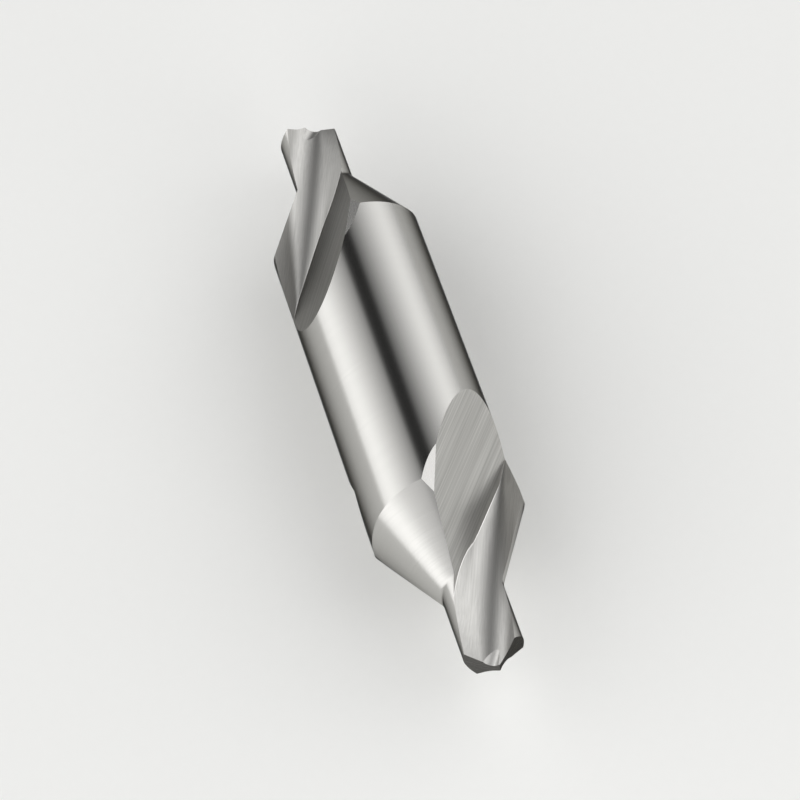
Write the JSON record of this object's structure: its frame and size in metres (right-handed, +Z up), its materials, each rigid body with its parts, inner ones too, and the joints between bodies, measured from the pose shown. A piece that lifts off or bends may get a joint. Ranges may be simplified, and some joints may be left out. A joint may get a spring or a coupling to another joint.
{
  "type": "centre drill",
  "caption": "Double-ended ground steel centre drill: round body, stepped pilot and 60 degree countersink on each end, oblique flutes with run-outs.",
  "frame": {"origin": "on the tool's axis, half-way along its length", "axes": "+X along the tool towards the end nearest the camera in the picture, +Z up as it lies, both ends' flutes pair up by a half turn about X"},
  "size_m": [0.071, 0.016, 0.016],
  "materials": {
    "ground_steel": "satin"
  },
  "bodies": {
    "root": {"centre_drill": "ground_steel"}
  },
  "joints": []
}
